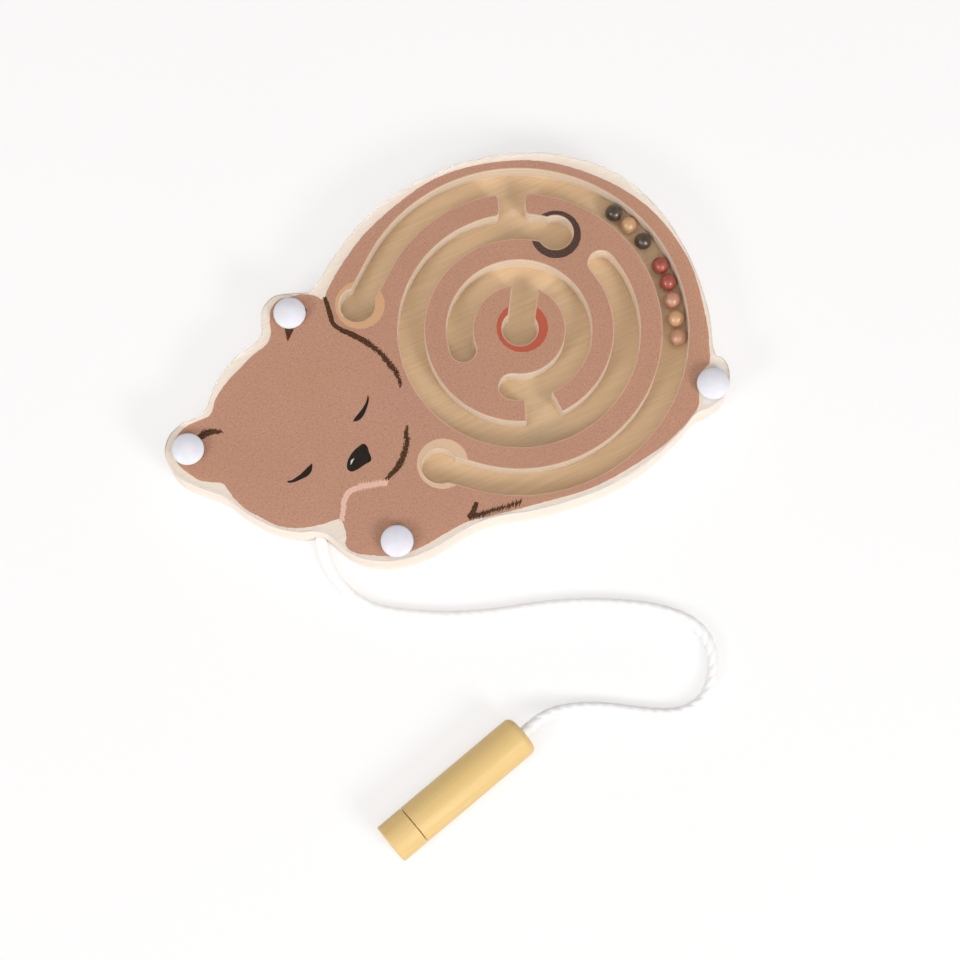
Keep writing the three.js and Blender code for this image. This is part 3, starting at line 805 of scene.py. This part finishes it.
def cotton_rope():
    """White cotton yarn: fine fibres along the strands and a soft fuzz."""
    look = Look("cotton", Roughness=0.9, Sheen_Weight=0.35, Sheen_Roughness=0.5, Subsurface_Weight=0.2)
    look.set("Subsurface Scale", 0.8 * MM)
    fibres = look.noise((0.3, 0.3, 0.12), detail=4, roughness=0.7)
    clumps = look.noise((1.8, 1.8, 1.8), detail=2)
    shade = look.ramp(fibres, *zip((0.25, 0.7), COTTON_WHITE))
    clumped = look.mix(look.ramp(clumps, (0.3, 0.25), (0.6, 0.0)), shade, COTTON_SHADE)
    return look.finish(clumped, relief=(fibres, 0.06, 0.6))


def turned_beech():
    """Smooth yellowish wood, with its grain along the wand's own axis."""
    look = Look("wand_wood", Specular_IOR_Level=0.3)
    streaks = look.noise((1.8, 1.8, 42), detail=4, roughness=0.55)
    flecks = look.noise((0.28, 0.28, 2.6), detail=2)
    tone = look.noise((14, 14, 30), detail=1)
    grain = look.ramp(streaks, *zip((0.28, 0.55, 0.8), WAND_GRAIN))
    warm = look.mix(look.ramp(tone, (0.35, 0.0), (0.75, 0.4)), grain, WAND_WARM)
    dots = look.ramp(flecks, (0.25, 0.72), (0.36, 1.0))
    dotted = look.mix(0.3, warm, dots, blend="MULTIPLY")
    return look.finish(dotted, (streaks, (0.3, 0.5), (0.7, 0.42)), (flecks, 0.02, 0.5))


def plated_metal():
    """Bright plating on the magnet."""
    look = Look("plated_magnet", Metallic=1.0)
    brushed = look.noise((0.2, 0.2, 3), detail=3)
    return look.finish(look.tones(brushed, *MAGNET_GREY), (brushed, (0.3, 0.22), (0.7, 0.34)))


def white_floor():
    """A plain white table, whose shadows the camera sees softened."""
    look = Look("table", Roughness=0.95, Specular_IOR_Level=0.1)
    cloud = look.noise((300, 300, 300), detail=2)
    glow = look.node("Emission", {"Color": TABLE_SEEN, "Strength": 1.0}).outputs[0]
    share = look.math("MULTIPLY", look.seen(look.node("LightPath").outputs), TABLE_GLOW)
    look.show(share, look.shader.outputs[0], glow)
    return look.finish(look.tones(cloud, *TABLE_WHITE))


# Pieces

def place_piece(piece, body, slot, *replaced):
    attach(piece, body)
    if replaced:
        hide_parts(*replaced)
    return piece


def make_camera():
    data = bpy.data.cameras.new("camera")
    data.lens = CAMERA_LENS
    data.sensor_width = CAMERA_SENSOR
    data.clip_start = CAMERA_NEAR * MM
    camera = bpy.data.objects.new("camera", data)
    camera.location = Vector(CAMERA_PLACE) * MM
    camera.rotation_euler = (math.radians(CAMERA_TILT), 0, math.radians(CAMERA_TURN))
    bpy.context.scene.collection.objects.link(camera)
    bpy.context.scene.camera = camera


def cord_section():
    """The distance of the cord's skin from its middle, round one turn: strands that lie close together."""
    radius = CORD_DIAMETER * MM / 2
    strand = CORD_STRAND_SHARE * radius
    lay = radius - strand
    distances = []
    for side in range(CORD_SIDES):
        off = (side * CORD_STRANDS / CORD_SIDES + 0.5) % 1 - 0.5
        angle = 2 * math.pi / CORD_STRANDS * off
        distances.append(lay * math.cos(angle) + math.sqrt(strand ** 2 - (lay * math.sin(angle)) ** 2))
    return distances


def cord_exit():
    """Where the cord leaves the board, and its direction there."""
    inner, outer = in_metres(CORD_POINTS[CORD_EXIT_POINT - 1:CORD_EXIT_POINT + 1])
    return outer, (outer - inner).normalized()


def cord_piece(name, rings, cotton):
    """A closed stretch of the cord through rings of points."""
    mesh = bmesh.new()
    loops = [[mesh.verts.new(spot) for spot in ring] for ring in rings]
    for near, far in zip(loops, loops[1:]):
        for side in range(CORD_SIDES):
            after = (side + 1) % CORD_SIDES
            mesh.faces.new((near[side], near[after], far[after], far[side]))
    mesh.faces.new(loops[0])
    mesh.faces.new(loops[-1])
    bmesh.ops.recalc_face_normals(mesh, faces=mesh.faces)
    piece = new_piece(name, mesh, cotton)
    return piece


def make_cord():
    """Twisted strands on the cord's route, in two pieces that meet where the route reaches furthest along X.
    """
    points = in_metres(CORD_POINTS)
    route = evenly(curve_through(points, CURVE_STEP * MM), CORD_STEP * MM)
    section = cord_section()
    up = Vector((0, 0, 1))
    rings = []
    for index, point in enumerate(route):
        ahead = (route[min(index + 1, len(route) - 1)] - route[max(index - 1, 0)]).normalized()
        up = (up - ahead * up.dot(ahead)).normalized()
        across = ahead.cross(up)
        ring = []
        for side, distance in enumerate(section):
            turn = 2 * math.pi * (index * CORD_STEP / CORD_LAY + side / CORD_SIDES)
            spot = (up * math.cos(turn) + across * math.sin(turn)) * distance
            swell = 1 + CORD_SWELL * noise.noise((point + spot) / (CORD_SWELL_SIZE * MM))
            ring.append(point + spot * swell)
        rings.append(ring)
    turn_back = max(range(len(route)), key=lambda index: route[index].x)
    cotton = cotton_rope()
    near = cord_piece("twisted_cord", rings[:turn_back + 1], cotton)
    far = cord_piece("cord_run", rings[turn_back:], cotton)
    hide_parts("cord")
    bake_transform(near)
    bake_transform(far)
    return near, far, route[:turn_back + 1], route[turn_back:]


def cut_hole(piece, start, end, radius):
    """Cuts a round hole into the piece between two points."""
    length = (end - start).length
    bar = turned([(0, 0), (radius, 0), (radius, length), (0, length)], HOLE_SIDES)
    cutter = new_piece("cutter", bar)
    turn = (end - start).to_track_quat("Z", "Y").to_matrix().to_4x4()
    cutter.matrix_world = Matrix.Translation(start) @ turn
    cut = piece.modifiers.new("hole", "BOOLEAN")
    cut.operation = "DIFFERENCE"
    cut.solver = "EXACT"
    cut.object = cutter
    graph = bpy.context.evaluated_depsgraph_get()
    data = bpy.data.meshes.new_from_object(piece.evaluated_get(graph))
    piece.modifiers.clear()
    piece.data = data
    bpy.data.objects.remove(cutter)


def make_base():
    """The lower panel, with rivet holes that widen at the back, and the hole for the cord."""
    low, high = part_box("base_panel")
    outline, *holes = outlines("base_panel", high.z)
    loops = [outline]
    profiles = [edge_profile(low.z, high.z, WOOD_EDGE * MM)]
    for place in RIVETS:
        socket_low, socket_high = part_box("rivet_socket_" + place)
        centre = ((socket_low + socket_high) / 2).to_2d()
        hole = min(holes, key=lambda loop: (middle_of(loop) - centre).length)
        radius = (hole[0] - centre).length
        wide = (socket_high.x - socket_low.x) / 2 + HOLE_CLEARANCE * MM
        seat = socket_low.z + SOCKET_SEAT * MM
        loops.append(hole)
        profiles.append([(radius - wide, low.z), (radius - wide, seat), (0, seat), (0, high.z)])
    mesh = bmesh.new()
    add_slab(mesh, loops, profiles)
    edge = ply_edge("base_ply_edge", *OUTER_PLIES, low.z, high.z)
    base = new_piece("base_board", mesh, wood_face("channel_floor_wood", *FLOOR_WOOD), edge)
    exit_point, outward = cord_exit()
    inside = exit_point - outward * CORD_HOLE_DEPTH * MM
    outside = exit_point + outward * CORD_HOLE_PAST * MM
    cut_hole(base, inside, outside, (CORD_DIAMETER / 2 + HOLE_CLEARANCE) * MM)
    place_piece(base, "board", "plywood", "base_panel")


def make_maze():
    """The upper panel with its channels."""
    low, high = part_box("maze_panel")
    loops = outlines("maze_panel", high.z)
    mesh = bmesh.new()
    add_slab(mesh, loops, [edge_profile(low.z, high.z, WOOD_EDGE * MM)] * len(loops), 0, 1, 2)
    edge = ply_edge("maze_ply_edge", *OUTER_PLIES, low.z, high.z)
    wall = ply_edge("channel_wall", *WALL_PLIES, low.z, high.z)
    face = wood_face("maze_face_wood", *MAZE_WOOD, MAZE_STAIN)
    maze = new_piece("maze_board", mesh, face, edge, wall)
    place_piece(maze, "board", "printed_plywood", "maze_panel")
    return loops, high.z


def make_cover():
    """The clear sheet over the maze."""
    low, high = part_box("clear_cover")
    loops = outlines("clear_cover", high.z)
    mesh = bmesh.new()
    add_slab(mesh, loops, [edge_profile(low.z, high.z, COVER_EDGE * MM)] * len(loops))
    cover = new_piece("cover_sheet", mesh, clear_sheet(), acrylic_edge())
    place_piece(cover, "board", "clear_sheet", "clear_cover")


def print_piece(name, mesh, material):
    place_piece(new_piece(name, mesh, material), "board", "printed_plywood")


def add_ink(mesh, loops, bottom, top):
    """One patch of ink between an outline and its holes."""
    add_slab(mesh, loops, [edge_profile(bottom, top, 0)] * len(loops), 0, 0, 0)


def ink_piece(name, polygons, surface, material, lift=0.0):
    """Patches of ink that lie on the brown coat or higher by a lift, each a trace above the one before."""
    mesh = bmesh.new()
    bottom = surface + (STROKE_LIFT + lift) * MM
    for number, polygon in enumerate(polygons):
        rise = STROKE_STACK * number / len(polygons)
        add_ink(mesh, [turned_to(polygon, True)], bottom, surface + (STROKE_TOP + lift + rise) * MM)
    print_piece(name, mesh, material)


def width_at(widths, share):
    """The width or roughness at a share of a stroke's length, between the given ones."""
    place = share * (len(widths) - 1)
    first = min(int(place), len(widths) - 2)
    return widths[first] + (widths[first + 1] - widths[first]) * (place - first)


def drawn_line(points, step):
    return evenly(curve_through(flat(in_metres(points)), CURVE_STEP * MM), step * MM)


def closed_shape(points, step=SHAPE_STEP):
    return curve_through(flat(in_metres(points)), step * MM, closed=True)


def stroke(points, widths, roughs, seed):
    """A brush stroke as a polygon, with widths and roughness of its edges given along it."""
    middle = drawn_line(points, STROKE_STEP)
    sides = ([], [])
    for index, point in enumerate(middle):
        ahead = middle[min(index + 1, len(middle) - 1)] - middle[max(index - 1, 0)]
        across = left_of(ahead)
        share = index / (len(middle) - 1)
        half = width_at(widths, share) / 2
        rough = width_at(roughs, share)
        for number, sign in enumerate((1, -1)):
            layer = Vector((0, 0, seed + STROKE_SIDES_APART * number))
            spot = Vector((point.x, point.y, 0)) / (STROKE_GRAIN * MM) + layer
            jag = rough_noise(spot, STROKE_OCTAVE)
            sides[number].append(point + across * sign * max(half + rough * jag, STROKE_LEAST) * MM)
    return sides[0] + sides[1][::-1]


def flecks(points, widths, count, size, seed):
    """Flecks of ink along both edges of a stroke, as a dry brush leaves them."""
    draw = random.Random(seed)
    line = drawn_line(points, CURVE_STEP)
    polygons = []
    for number in range(count):
        share = draw.random()
        index = min(int(share * len(line)), len(line) - 2)
        across = left_of(line[index + 1] - line[index])
        offset = draw.choice((-1, 1)) * draw.uniform(*FLECK_OFFSETS) * width_at(widths, share) / 2
        centre = line[index] + across * offset * MM
        reach = size * MM / 2
        polygon = []
        for corner in range(FLECK_CORNERS):
            angle = math.radians(360 / FLECK_CORNERS * corner)
            out = Vector((math.cos(angle), math.sin(angle)))
            polygon.append(centre + out * reach * draw.uniform(*FLECK_SIZES))
        polygons.append(polygon)
    return polygons


def hairs(points, count, length, width, lean, seed):
    """Short tapering hairs that stand across a line, each leaning a little its own way."""
    draw = random.Random(seed)
    line = drawn_line(points, CURVE_STEP)
    polygons = []
    for number in range(count):
        index = round((number + draw.uniform(-HAIR_JITTER, HAIR_JITTER)) / (count - 1) * (len(line) - 2))
        index = min(max(index, 0), len(line) - 2)
        ahead = (line[index + 1] - line[index]).normalized()
        turn = Matrix.Rotation(math.radians(lean + draw.uniform(-HAIR_TURN, HAIR_TURN)), 2)
        along = turn @ ahead
        reach = length * MM * draw.uniform(*HAIR_LENGTHS) / 2
        across = left_of(along) * (width * MM * draw.uniform(*HAIR_WIDTHS) / 2)
        root = across * HAIR_ROOT
        middle = line[index]
        start = middle - along * reach
        end = middle + along * reach
        polygons.append([start - root, middle - across, end, middle + across, start + root])
    return polygons


def make_print(loops, surface):
    """The brown coat round the channels, the white tail and the strokes of the bear's face."""
    bottom = surface + PRINT_LIFT * MM
    top = surface + PRINT_TOP * MM
    edge = ragged(closed_shape(PRINT_EDGE, PRINT_STEP), PRINT_RAGGED * MM, PRINT_RAGGED_SIZE * MM, seed=3)
    channels, *rivet_holes = loops[1:]
    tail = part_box("rivet_stud_tail")[0].to_2d()
    holes = [hole for hole in rivet_holes if (middle_of(hole) - tail).length > TAIL_REACH * MM]
    mesh = bmesh.new()
    add_ink(mesh, [turned_to(edge, True), clear_inset(channels, PRINT_BORDER * MM), *holes], bottom, top)
    print_piece("print_brown", mesh, printed_brown())
    tail_mesh = bmesh.new()
    add_ink(tail_mesh, [turned_to(closed_shape(TAIL_EDGE), True)], bottom, top)
    print_piece("print_tail", tail_mesh, plain_ink("tail_print", *TAIL_INK))
    dark = plain_ink("stroke_ink", *STROKE_INK, DRY_INK_THIN)
    strokes = [
        stroke(NECK_STROKE, NECK_WIDTHS, NECK_ROUGHS, seed=1),
        stroke(CHEEK_STROKE, CHEEK_WIDTHS, CHEEK_ROUGHS, seed=2),
        stroke(HAUNCH_TICK, TICK_WIDTHS, PLAIN_ROUGHS, seed=3),
        stroke(EAR_STROKE, EAR_WIDTHS, PLAIN_ROUGHS, seed=4),
        stroke(HAUNCH_BRUSH, BRUSH_WIDTHS, PLAIN_ROUGHS, seed=11),
        closed_shape(EAR_WEDGE),
        closed_shape(EAR_MARK),
    ]
    strokes += hairs(HAUNCH_BRUSH, count=36, length=3.6, width=0.5, lean=60, seed=5)
    strokes += hairs(EAR_STROKE, count=16, length=2.8, width=0.45, lean=-40, seed=13)
    strokes += flecks(NECK_STROKE[9:], NECK_WIDTHS[8:], count=110, size=0.5, seed=6)
    strokes += flecks(CHEEK_STROKE[:9], CHEEK_WIDTHS[:9], count=60, size=0.45, seed=7)
    strokes += flecks(EAR_STROKE, EAR_WIDTHS, count=30, size=0.5, seed=10)
    ink_piece("print_strokes", strokes, surface, dark)
    eyes = [closed_shape(RIGHT_EYE), closed_shape(LEFT_EYE), closed_shape(NOSE)]
    ink_piece("print_eyes_nose", eyes, surface, plain_ink("eye_ink", *EYE_INK))
    shine = [stroke(NOSE_SHINE, SHINE_WIDTHS, SHINE_ROUGHS, seed=12)]
    ink_piece("print_nose_shine", shine, surface, plain_ink("shine_ink", *SHINE_INK), SHINE_LIFT)
    peach = [stroke(PAW_STROKE, PAW_WIDTHS, PLAIN_ROUGHS, seed=8)]
    peach += hairs(PAW_STROKE[:8], count=40, length=3.6, width=0.42, lean=70, seed=9)
    ink_piece("print_paw_stroke", peach, surface, plain_ink("peach_ink", *PEACH_INK))


def cap_profile(low, high, cover_top):
    """A domed cap on the cover, with its pin down to the low point."""
    radius = (high.x - low.x) / 2
    pin = PIN_RADIUS * MM
    bevel = PIN_BEVEL * MM
    foot = CAP_FOOT * MM
    seat = cover_top + CAP_LIFT * MM
    rim = cover_top + CAP_EDGE * MM
    rise = high.z - rim
    dome = (radius ** 2 + rise ** 2) / (2 * rise)
    sweep = math.degrees(math.asin((radius - CAP_SHOULDER * MM) / dome))
    return [
        (0, low.z),
        (pin - bevel, low.z),
        (pin, low.z + bevel),
        (pin, seat),
        (radius - foot, seat),
        (radius, cover_top + foot),
        (radius, rim - CAP_RIM * MM),
        *arc((0, high.z - dome), dome, 90 - sweep, 90, DOME_STEPS)[:-1],
        (0, high.z),
    ]


def socket_profile(low, high):
    """A flange with a tube that takes the pin."""
    flange = (high.x - low.x) / 2
    bore = SOCKET_BORE * MM
    tube = bore + SOCKET_WALL * MM
    edge = SOCKET_EDGE * MM
    seat = low.z + SOCKET_SEAT * MM
    floor = low.z + SOCKET_FLOOR * MM
    return [
        (0, low.z),
        (flange - edge, low.z),
        (flange, low.z + edge),
        (flange, seat),
        (tube, seat),
        (tube, high.z - edge),
        (tube - edge, high.z),
        (bore, high.z),
        (bore, floor),
        (0, floor),
    ]


def rivet_piece(name, node, profile, plastic):
    """A turned piece of a rivet, on the axis of its node."""
    low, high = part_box(node)
    centre = (low + high) / 2
    mesh = turned(profile, RIVET_SIDES)
    bmesh.ops.translate(mesh, verts=mesh.verts, vec=(centre.x, centre.y, 0))
    place_piece(new_piece(name, mesh, plastic), "board", "white_plastic", node)


def make_rivets():
    """Domed caps with their pins, and the sockets behind them."""
    plastic = moulded_plastic()
    cover_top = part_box("clear_cover")[1].z
    for place in RIVETS:
        stud = "rivet_stud_" + place
        socket = "rivet_socket_" + place
        rivet_piece("cap_" + place, stud, cap_profile(*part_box(stud), cover_top), plastic)
        rivet_piece("socket_" + place, socket, socket_profile(*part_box(socket)), plastic)


def make_balls():
    lacquers = {shade: bead_lacquer("bead_" + shade, code) for shade, code in BEAD_COLOURS.items()}
    for number, shade in enumerate(BEAD_SHADES, start=1):
        node = f"bead_{number}"
        low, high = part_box(node)
        centre = (low + high) / 2
        radius = (high.z - low.z) / 2
        mesh = bmesh.new()
        bmesh.ops.create_uvsphere(mesh, u_segments=BALL_SIDES, v_segments=BALL_SIDES // 2, radius=radius)
        for vert in mesh.verts:
            uneven = noise.noise(vert.co / (BALL_UNEVEN_SIZE * MM) + Vector((number, 0, 0)))
            vert.co *= 1 + BALL_UNEVEN * MM / radius * uneven
        bmesh.ops.translate(mesh, verts=mesh.verts, vec=centre)
        ball = new_piece(f"ball_{number}", mesh, lacquers[shade])
        place_piece(ball, node, "bead_" + shade, node)


def wand_axis():
    """The wand's end at the cord, and the direction of its axis."""
    start = in_metres(CORD_POINTS)[WAND_END_POINT]
    low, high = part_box("wand_magnet")
    return start, ((low + high) / 2 - start).normalized()


def wand_span(node, start, along):
    """How far a wand piece reaches along the axis, and its radius."""
    places = [vert.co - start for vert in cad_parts[node].data.vertices]
    reach = [place.dot(along) for place in places]
    radius = max((place - along * place.dot(along)).length for place in places)
    return min(reach), max(reach), radius


def handle_profile(low, high, radius, shoulder, spigot):
    """The wand's body, from its cord hole to the spigot that enters the tip."""
    hole = (CORD_DIAMETER / 2 + HOLE_CLEARANCE) * MM
    hole_end = WAND_HOLE_DEPTH * MM
    hole_edge = WAND_HOLE_EDGE * MM
    fillet = WAND_FILLET * MM
    ease = WAND_EASE * MM
    return [
        (0, hole_end),
        (hole, hole_end),
        (hole, low + hole_edge),
        (hole + hole_edge, low),
        *arc((radius - fillet, low + fillet), fillet, -90, 0, WAND_FILLET_STEPS),
        (radius, shoulder - ease),
        (radius - ease, shoulder),
        (spigot, shoulder),
        (spigot, high),
        (0, high),
    ]


def tip_profile(low, high, radius):
    """The wand's tip, with its pocket for the magnet."""
    rounding = TIP_ROUND * MM
    ease = WAND_EASE * MM
    pocket = radius - TIP_WALL * MM
    pocket_end = high - TIP_END * MM
    return [
        (0, pocket_end),
        (pocket, pocket_end),
        (pocket, low),
        (radius - ease, low),
        (radius, low + ease),
        *arc((radius - rounding, high - rounding), rounding, 0, 90, TIP_ROUND_STEPS),
        (0, high),
    ]


def make_wand():
    """The turned body and tip, with their grain along the axis."""
    start, along = wand_axis()
    wood = turned_beech()
    stand = Matrix.Translation(start) @ along.to_track_quat("Z", "Y").to_matrix().to_4x4()
    tip = wand_span("wand_tip", start, along)
    shoulder = tip[0] - WAND_JOINT * MM
    spigot = wand_span("wand_magnet", start, along)[2]
    profiles = {
        ("wand_handle", "wand_body"): handle_profile(*wand_span("wand_body", start, along), shoulder, spigot),
        ("wand_end", "wand_tip"): tip_profile(*tip),
    }
    pieces = []
    for (name, node), profile in profiles.items():
        piece = new_piece(name, turned(profile, WAND_SIDES), wood)
        piece.matrix_world = stand
        pieces.append(place_piece(piece, "wand", "wand_wood", node))
    return pieces


def dress_hidden_nodes(cotton):
    """The knot and the magnet keep their solids."""
    for name, material in (("cord_knot", cotton), ("wand_magnet", plated_metal())):
        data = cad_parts[name].data
        data.materials.clear()
        data.materials.append(material)


# Table and light

def make_table():
    mesh = bmesh.new()
    bmesh.ops.create_grid(mesh, x_segments=1, y_segments=1, size=TABLE_HALF * MM)
    bmesh.ops.translate(mesh, verts=mesh.verts, vec=(0, 0, -TABLE_DROP * MM))
    new_piece("table", mesh, white_floor())


def make_world():
    """Soft light from all round. What is seen of it is white, with a dark patch that the cover mirrors."""
    world = bpy.data.worlds.new("studio")
    world.use_nodes = True
    bpy.context.scene.world = world
    sky = Nodes(world.node_tree)
    direction = sky.node("TexCoord").outputs["Generated"]

    def around(centre, inner, outer, outside, inside):
        """A level that changes smoothly from one angle round a direction to another."""
        ends = {0: direction, 1: Vector(centre).normalized()}
        towards = sky.node("VectorMath", ends, operation="DOT_PRODUCT")
        inputs = {
            "Value": towards.outputs["Value"],
            "From Min": math.cos(math.radians(outer)),
            "From Max": math.cos(math.radians(inner)),
            "To Min": outside,
            "To Max": inside,
        }
        return sky.node("MapRange", inputs, interpolation_type="SMOOTHSTEP").outputs[0]

    light = around(OVERHEAD, OVERHEAD_INNER, OVERHEAD_OUTER, WORLD_LEVEL, OVERHEAD_LEVEL)
    view = around(DARK_PATCH, DARK_PATCH_INNER, DARK_PATCH_OUTER, 1.0, DARK_PATCH_LEVEL)
    path = sky.node("LightPath").outputs
    unscattered = sky.math("LESS_THAN", path["Diffuse Depth"], 0.5)
    share = sky.math("MULTIPLY", sky.seen(path), unscattered)
    level = sky.node("MapRange", {"Value": share, "To Min": light, "To Max": view})
    background = world.node_tree.nodes["Background"].inputs
    sky.feed(background["Strength"], level.outputs[0])
    sky.feed(background["Color"], (1, 1, 1, 1))


def make_lamps():
    for name, (place, size, watts) in LAMPS.items():
        data = bpy.data.lights.new(name, "AREA")
        data.shape = "DISK"
        data.size = size
        data.energy = watts
        lamp = bpy.data.objects.new(name, data)
        lamp.location = place
        lamp.rotation_euler = (Vector(LAMP_AIM) - Vector(place)).to_track_quat("-Z", "Y").to_euler()
        bpy.context.scene.collection.objects.link(lamp)


make_camera()
cord, cord_run, near_path, far_path = make_cord()
wand_pieces = make_wand()
make_base()
maze_loops, maze_top = make_maze()
make_print(maze_loops, maze_top)
make_cover()
make_rivets()
make_balls()
dress_hidden_nodes(cord.data.materials[0])
make_table()
make_world()
make_lamps()
bpy.context.scene.view_settings.view_transform = "Standard"
